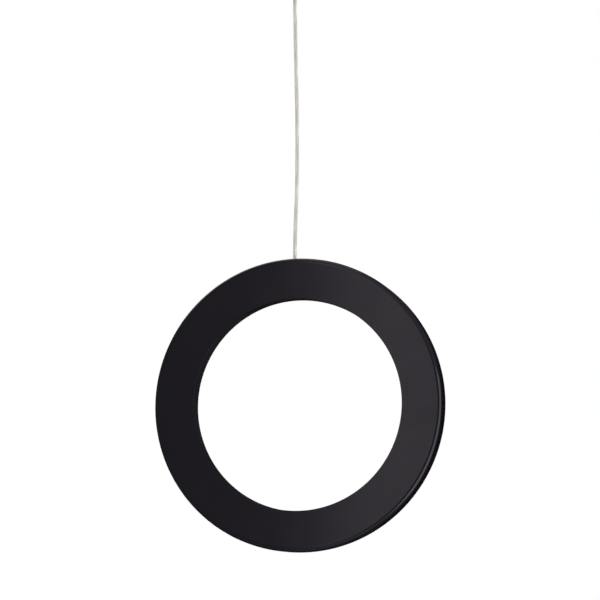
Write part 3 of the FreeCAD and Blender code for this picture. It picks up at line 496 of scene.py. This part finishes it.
def ringOutline():
    # radius and depth of each corner, from the hole's front edge round to its back edge
    radius, hole, rim = ring["radius"], ring["hole"], ring["rim"]
    soft, seam, broken = ring["edgeRound"], ring["seam"], ring["edgeBreak"]
    corners = [(hole, ringFront + broken), (hole + broken, ringFront), (radius - soft - seam, ringFront)]
    for step in range(ring["roundSteps"] + 1):
        angle = step / ring["roundSteps"] * math.pi / 2
        corners.append((radius - soft + soft * math.sin(angle), ringFront + soft - soft * math.cos(angle)))
    corners += [(radius, ringFront + soft + seam), (radius, ringBack - broken), (radius - broken, ringBack)]
    corners += [(radius - rim, ringBack), (radius - rim, coverLedge), (outerWall, coverLedge)]
    corners += snapGroove(outerWall, 1) + [(outerWall, faceInside), (innerWall, faceInside)]
    corners += snapGroove(innerWall, -1)[::-1] + [(innerWall, coverLedge), (hole + rim, coverLedge)]
    return corners + [(hole + rim, ringBack), (hole + broken, ringBack), (hole, ringBack - broken)]


def snapBead(wall, outwards):
    half = opal["beadWidth"] / 2
    return [(wall, snapLevel + half), (wall + outwards * opal["bead"], snapLevel), (wall, snapLevel - half)]


def coverOutline():
    # the cover's plate, with a skirt and a snap bead along each wall of the ring
    outside = ring["radius"] - ring["rim"] - opal["room"]
    inside = ring["hole"] + ring["rim"] + opal["room"]
    skirtOut, skirtIn = outerWall - opal["room"], innerWall + opal["room"]
    skirtEnd = coverLedge - opal["skirt"]
    top, broken, thick = coverLedge + opal["thickness"], opal["edgeBreak"], opal["skirtWall"]
    corners = [(inside, top - broken), (inside + broken, top)]
    corners += [(outside - broken, top), (outside, top - broken)]
    corners += [(outside, coverLedge), (skirtOut, coverLedge)] + snapBead(skirtOut, 1)
    corners += [(skirtOut, skirtEnd), (skirtOut - thick, skirtEnd), (skirtOut - thick, coverLedge)]
    corners += [(skirtIn + thick, coverLedge), (skirtIn + thick, skirtEnd), (skirtIn, skirtEnd)]
    return corners + snapBead(skirtIn, -1)[::-1] + [(skirtIn, coverLedge), (inside, coverLedge)]


def turnedShape(outline):
    shape = bmesh.new()
    loops = []
    for step in range(ring["steps"]):
        angle = step / ring["steps"] * math.tau
        loops.append([shape.verts.new((math.sin(angle) * r, y, math.cos(angle) * r)) for r, y in outline])
    for first, second in zip(loops, loops[1:] + loops[:1]):
        bridge(shape, first, second)
    return shape


def blockShape(low, high):
    shape = bmesh.new()
    size = [b - a for a, b in zip(low, high)]
    middle = [(a + b) / 2 for a, b in zip(low, high)]
    place = Matrix.Translation(middle) @ Matrix.Diagonal((*size, 1.0))
    bmesh.ops.create_cube(shape, size=1.0, matrix=place)
    return shape


def boreShape(start, end, radius):
    shape = bmesh.new()
    start, end = Vector(start), Vector(end)
    along = end - start
    place = Matrix.Translation((start + end) / 2) @ along.to_track_quat("Z", "Y").to_matrix().to_4x4()
    bmesh.ops.create_cone(shape, cap_ends=True, segments=saddle["boreSides"], radius1=radius, radius2=radius,
                          depth=along.length, matrix=place)
    return shape


def hungPiece(name, shape, material, *cuts):
    # joins or cuts the turned shape step by step, then hangs it in place
    holder = makeMesh("blank", shape, material)
    helpers = []
    for operation, other in cuts:
        helper = makeMesh("cutter", other)
        modifier = holder.modifiers.new(operation, "BOOLEAN")
        modifier.operation = operation
        modifier.solver = "EXACT"
        modifier.object = helper
        helpers.append(helper)
    mesh = finalMesh(holder)
    for used in [holder, *helpers]:
        bpy.data.objects.remove(used)
    mesh.name = name
    entry = Matrix.Translation((0.0, 0.0, ring["top"]))
    lean = Matrix.Rotation(math.radians(-ring["lean"]), 4, "Y")
    mesh.transform(entry @ lean @ Matrix.Translation((0.0, 0.0, -ring["drop"])))
    mesh.polygons.foreach_set("use_smooth", [True] * len(mesh.polygons))
    mesh.set_sharp_from_angle(angle=math.radians(ring["sharp"]))
    return addObject(name, mesh)


# saddle for the cable clamp with its two screw holes, and the cable's entry through the wall
half = saddle["length"] / 2
middle = (saddle["low"] + saddle["high"]) / 2
block = blockShape((-half, faceInside - ring["face"] / 2, saddle["low"]),
                   (half, saddle["top"], saddle["high"]))
cuts = [("UNION", block)]
for side in (-1, 1):
    across = side * saddle["screwGap"] / 2
    bore = boreShape((across, saddle["screwEnd"], middle), (across, 0.0, middle), saddle["screwRadius"])
    cuts.append(("DIFFERENCE", bore))
entryEnd = ring["radius"] + ring["wall"]
entry = boreShape((0.0, 0.0, saddle["high"]), (0.0, 0.0, entryEnd), saddle["entryRadius"])
cuts.append(("DIFFERENCE", entry))
housing = hungPiece("ringHousing", turnedShape(ringOutline()), finish["ring_black"], *cuts)

# the cover's skirt has a gap where the cable comes in
notchEnd = coverLedge - opal["skirt"] - opal["bead"]
notch = blockShape((-opal["notch"], notchEnd, outerWall - 2 * opal["skirtWall"]),
                   (opal["notch"], coverLedge, ring["radius"]))
cover = hungPiece("opalCover", turnedShape(coverOutline()), finish["opal"], ("DIFFERENCE", notch))

for piece, node, slot in ((housing, "ring_housing", "ring_black"), (cover, "diffuser", "opal")):
    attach(piece, "ring")
    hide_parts(node)
print("ring turned,", len(housing.data.polygons), "and", len(cover.data.polygons), "faces")


# contact springs: the end turns lie flat, the coils between them open up

spring = dict(
    radius=0.0017,
    wire=0.0002,
    turns=5.5,
    near=0.0016,  # seat on the carrier, from the adapter's middle
    far=0.0072,  # seat under the plunger
    x=0.024,
    z=-0.010,
    press=0.0012,
    flat=0.72,  # how flat the end turns lie
    steps=176,
    sides=10,
)


def springFrames(side):
    span = spring["far"] - spring["near"] - 2 * spring["wire"]
    line = []
    outs = []
    for step in range(spring["steps"] + 1):
        share = step / spring["steps"]
        angle = share * spring["turns"] * math.tau
        rise = share - spring["flat"] * math.sin(share * math.tau) / math.tau
        reach = side * (spring["near"] + spring["wire"] + span * rise)
        out = Vector((math.cos(angle), 0.0, math.sin(angle)))
        line.append(Vector((spring["x"], reach, spring["z"])) + out * spring["radius"])
        outs.append(out)
    return crossFrames(line, outs)


for name, side in (("front", -1), ("rear", 1)):
    shape = tubeAlong(springFrames(side), spring["wire"], spring["sides"])
    coil = makeMesh(name + "Spring", shape, finish["spring_steel"])
    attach(coil, "adapter")
    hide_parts("contact_spring_" + name)
    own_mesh(coil)
print("contact springs wound")


# stage, lamps and camera

photo = dict(
    centre=Vector((0.00262, -0.0065, -0.32397)),  # of the ring's face, which the lamps point at
    turn=12.2,  # degrees to the right
    rise=-4.9,
    distance=1.6,
    lens=141.55,
    sensor=36.0,
    up=2.5215,  # the aim, in degrees from the centre
    aside=0.085,
)


def hideFrom(obj, *rays):
    for ray in rays:
        setattr(obj, "visible_" + ray, False)


def whiteRays(tree, x, y):
    # 1 for rays that should see the white background
    path = addNode(tree, "ShaderNodeLightPath", x, y).outputs
    seen = addMath(tree, "MAXIMUM", path["Is Camera Ray"], path["Is Glossy Ray"], x + 200, y)
    return addMath(tree, "MAXIMUM", seen, path["Is Transmission Ray"], x + 400, y)


studio = dict(fill=0.55, white=1.0)  # the world as it lights the part, and as it is seen


def makeWorld():
    world = bpy.data.worlds.new("studioWorld")
    world.use_nodes = True
    tree = world.node_tree
    # the numbers of a Mix node are its inputs 2 and 3 and its output 0
    inputs = {0: whiteRays(tree, -900, 100), 2: studio["fill"], 3: studio["white"]}
    level = addNode(tree, "ShaderNodeMix", -200, 100, inputs, data_type="FLOAT")
    feed(tree, tree.nodes["Background"], {"Color": (1.0, 1.0, 1.0), "Strength": level.outputs[0]})
    scene.world = world


floor = dict(
    level=-1.7,
    radius=40.0,
    sides=96,
    low=(0.8, 0.8, 0.8),
    high=(0.84, 0.84, 0.84),
    rough=0.8,
    drift=3.0,
    fade=(2.0, 16.0, 0.6, 1.0),  # fades to white from 2 to 16 m out
)


def makeFloor():
    material, tree = newMaterial("paleFloor")
    tone = useGroup(tree, driftGroup, -700, 200, Scale=floor["drift"])
    colour = mixColours(tree, tone.outputs["Value"], floor["low"], floor["high"], -400, 250)
    surface = tree.nodes["Principled BSDF"]
    feed(tree, surface, {"Base Color": colour, "Roughness": floor["rough"]})
    spot = addNode(tree, "ShaderNodeTexCoord", -600, 800)
    reach = addNode(tree, "ShaderNodeVectorMath", -400, 800, {0: spot.outputs["Object"]}, operation="LENGTH")
    fade = addRange(tree, reach.outputs["Value"], floor["fade"], -200, 800, interpolation_type="SMOOTHSTEP")
    share = addMath(tree, "MULTIPLY", whiteRays(tree, -500, 500), fade, 200, 300)
    glow = addNode(tree, "ShaderNodeEmission", 100, -200)
    mix = addNode(tree, "ShaderNodeMixShader", 500, 100,
                  {0: share, 1: surface.outputs["BSDF"], 2: glow.outputs["Emission"]})
    feed(tree, tree.nodes["Material Output"], {"Surface": mix.outputs["Shader"]})
    shape = bmesh.new()
    bmesh.ops.create_circle(shape, cap_ends=True, segments=floor["sides"], radius=floor["radius"])
    obj = makeMesh("studioFloor", shape, material)
    obj.location.z = floor["level"]


def setReflected(name, shape, material, glow):
    # a glowing stage piece that only reflections show
    tree = material.node_tree
    light = addNode(tree, "ShaderNodeEmission", 950, 100, {"Color": (1.0, 1.0, 1.0), "Strength": glow})
    feed(tree, tree.nodes["Material Output"], {"Surface": light.outputs["Emission"]})
    obj = makeMesh(name, shape, material)
    hideFrom(obj, "camera", "diffuse", "transmission", "volume_scatter", "shadow")


# dark cloth round the set, a little lighter on the left, and above and below on the right
cloth = dict(
    sides=48,
    loops=((0.05, -1.5), (2.4, -1.5), (2.4, 1.2), (0.45, 1.2)),  # radius and level
    openFrom=0.3,  # the roof is open behind this, on the left
    # over the direction from the ring's centre: two limits of x, y or z, and the glow or share at each
    left=(-0.15, 0.05, 0.155, 0.03),
    leftBehind=(-0.1, 0.35, 1.0, 0.12),
    right=(-0.36, -0.06, 0.0, 0.31),
    rightBehind=(-0.1, 0.35, 1.0, 0.09),
    rightSteep=((0.22, 0.7), (0.36, 0.0), (0.57, 0.0), (0.69, 1.0)),  # 0 is straight down, 1 straight up
    roof=(0.6, 0.7, 0.0, 0.25),
    roofBehind=(0.25, 0.35, 0.0, 1.0),
    # a patch above and one below, at the front on the right, that the ring's round edge shows
    above=(0.15, 0.4, 0.0, 0.24),
    aboveEnd=(0.12, 0.36, 1.0, 0.0),
    below=(-0.42, -0.72, 0.0, 0.26),
    belowEnd=(0.3, 0.45, 1.0, 0.0),
    patchStart=(-0.06, 0.02, 0.0, 1.0),
    patchFront=(-0.45, -0.15, 1.0, 0.0),
)


def clothShape():
    shape = bmesh.new()
    turns = [index / cloth["sides"] * math.tau for index in range(cloth["sides"])]
    loops = []
    for radius, level in cloth["loops"]:
        points = [(math.cos(turn) * radius, math.sin(turn) * radius, level) for turn in turns]
        loops.append([shape.verts.new(point) for point in points])
    for lower, upper in zip(loops, loops[1:]):
        bridge(shape, lower, upper)
    openFaces = []
    for face in list(shape.faces)[-cloth["sides"]:]:
        corner = face.verts[0].co
        if corner.x <= 0.0 and corner.y >= cloth["openFrom"]:
            openFaces.append(face)
    bmesh.ops.delete(shape, geom=openFaces, context="FACES")
    return shape


def multiplyAll(tree, x, y, first, *others):
    result = first
    for index, other in enumerate(others):
        result = addMath(tree, "MULTIPLY", result, other, x + 200 * index, y)
    return result


def clothGlow(tree):
    # how bright the cloth is in each direction from the ring's centre
    place = addNode(tree, "ShaderNodeNewGeometry", -1300, 0)
    inputs = {0: place.outputs["Position"], 1: photo["centre"]}
    away = addNode(tree, "ShaderNodeVectorMath", -1100, 0, inputs, operation="SUBTRACT")
    way = addNode(tree, "ShaderNodeVectorMath", -900, 0, {0: away.outputs["Vector"]}, operation="NORMALIZE")
    axes = addNode(tree, "ShaderNodeSeparateXYZ", -700, 0, {"Vector": way.outputs["Vector"]}).outputs

    def ramp(axis, name, y, kind="LINEAR"):
        return addRange(tree, axes[axis], cloth[name], -450, y, interpolation_type=kind)

    height = addRange(tree, axes["Z"], (-1.0, 1.0, 0.0, 1.0), -700, -250)
    steep = addNode(tree, "ShaderNodeValToRGB", -500, -250, {"Fac": height})
    stops = steep.color_ramp.elements
    for spot, level in cloth["rightSteep"]:
        stops.new(spot).color = (level, level, level, 1.0)
    stops[0].color = stops[1].color  # as light straight down as at the first of these

    left = multiplyAll(tree, -200, 500, ramp("X", "left", 500), ramp("Y", "leftBehind", 250))
    right = multiplyAll(tree, -200, 0, ramp("X", "right", 0, "SMOOTHSTEP"), steep.outputs["Color"],
                        ramp("Y", "rightBehind", -550))
    roof = multiplyAll(tree, -200, -800, ramp("Z", "roof", -800, "SMOOTHSTEP"),
                       ramp("Y", "roofBehind", -1050))
    above = multiplyAll(tree, -200, -1300, ramp("Z", "above", -1300), ramp("X", "aboveEnd", -1550))
    below = multiplyAll(tree, -200, -1800, ramp("Z", "below", -1800), ramp("X", "belowEnd", -2050))
    patches = multiplyAll(tree, 200, -1550, addMath(tree, "ADD", above, below, 0, -1550),
                          ramp("X", "patchStart", -2300), ramp("Y", "patchFront", -2550))
    walls = addMath(tree, "ADD", left, right, 300, 250)
    lights = addMath(tree, "ADD", roof, patches, 600, -800)
    return addMath(tree, "ADD", walls, lights, 800, 0)


def makeCloth():
    material, tree = newMaterial("darkCloth")
    setReflected("darkCloth", clothShape(), material, clothGlow(tree))


# pale card behind the hole, which the hole's wall reflects
card = dict(x=0.036, y=0.5, z=-0.327, width=0.16, height=0.19, glow=0.034)


def makeCard():
    shape = bmesh.new()
    corners = []
    for across, up in ((-0.5, -0.5), (0.5, -0.5), (0.5, 0.5), (-0.5, 0.5)):
        x, z = card["x"] + across * card["width"], card["z"] + up * card["height"]
        corners.append(shape.verts.new((x, card["y"], z)))
    shape.faces.new(corners)
    setReflected("paleCard", shape, newMaterial("paleCard")[0], card["glow"])


lamps = {
    "keyLamp": dict(place=(1.04, -0.80, -0.62), size=(1.2, 1.5), power=9.5, hidden=["camera"]),
    "frontLamp": dict(place=(-0.253, -2.0, -0.05), size=(0.238, 2.2), power=1.38, hidden=["camera"]),
    "backLamp": dict(place=(-0.8, 1.6, 0.5), size=(1.2, 1.2), power=14.0, hidden=["camera", "glossy"]),
}


def addLamp(name, place, size, power, hidden):
    lamp = bpy.data.lights.new(name, "AREA")
    lamp.shape = "RECTANGLE"
    lamp.size, lamp.size_y = size
    lamp.energy = power
    obj = addObject(name, lamp)
    obj.location = place
    obj.rotation_euler = (photo["centre"] - Vector(place)).to_track_quat("-Z", "Y").to_euler()
    hideFrom(obj, *hidden)


def wayOut(turn, rise):
    # direction from the ring towards a viewer, from degrees
    turn, rise = math.radians(turn), math.radians(rise)
    return Vector((math.sin(turn) * math.cos(rise), -math.cos(turn) * math.cos(rise), math.sin(rise)))


def addCamera():
    camera = bpy.data.cameras.new("photoCamera")
    camera.lens = photo["lens"]
    camera.sensor_width = photo["sensor"]
    obj = addObject("photoCamera", camera)
    obj.location = photo["centre"] + wayOut(photo["turn"], photo["rise"]) * photo["distance"]
    aim = -wayOut(photo["turn"] - photo["aside"], photo["rise"] - photo["up"])
    obj.rotation_euler = aim.to_track_quat("-Z", "Y").to_euler()
    scene.camera = obj


makeWorld()
makeFloor()
makeCloth()
makeCard()
for name, facts in lamps.items():
    addLamp(name, **facts)
addCamera()
print("stage, lamps and camera set")
